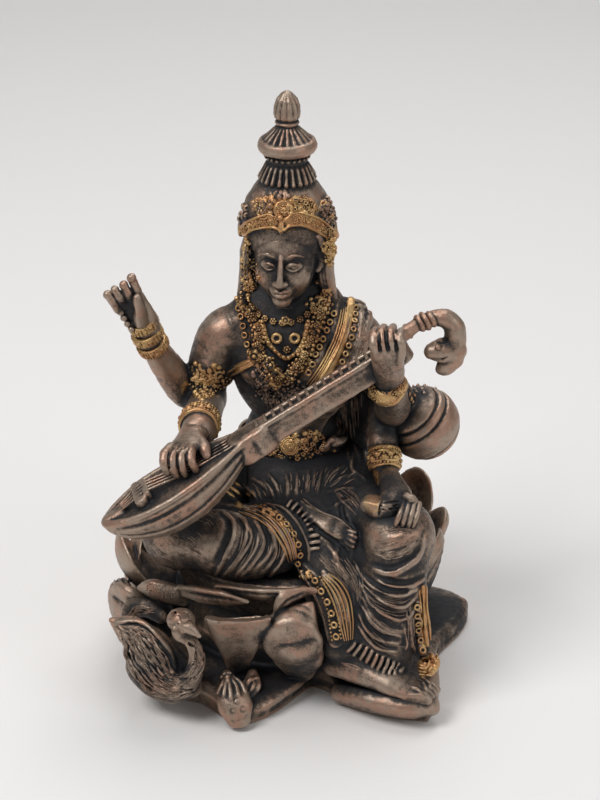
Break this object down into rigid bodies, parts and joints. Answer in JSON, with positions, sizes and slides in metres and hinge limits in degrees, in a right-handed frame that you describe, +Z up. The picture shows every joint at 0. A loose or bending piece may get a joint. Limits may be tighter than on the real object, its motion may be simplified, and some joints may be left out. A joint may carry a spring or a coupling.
{
  "type": "saraswati figure",
  "caption": "Small cast figure of a four-armed goddess seated on a lotus, playing a long-necked lute, with a bird at its foot; stands on a flat underside.",
  "frame": {"origin": "middle of the flat underside", "axes": "+Z up, the figure faces -Y, its right side is towards -X"},
  "size_m": [0.0924, 0.0933, 0.149],
  "materials": {
    "cast_resin": "antiqued bronze, worn bright on the high parts, dark in the hollows"
  },
  "bodies": {
    "root": {"saraswati_figure": "cast_resin"}
  },
  "joints": []
}
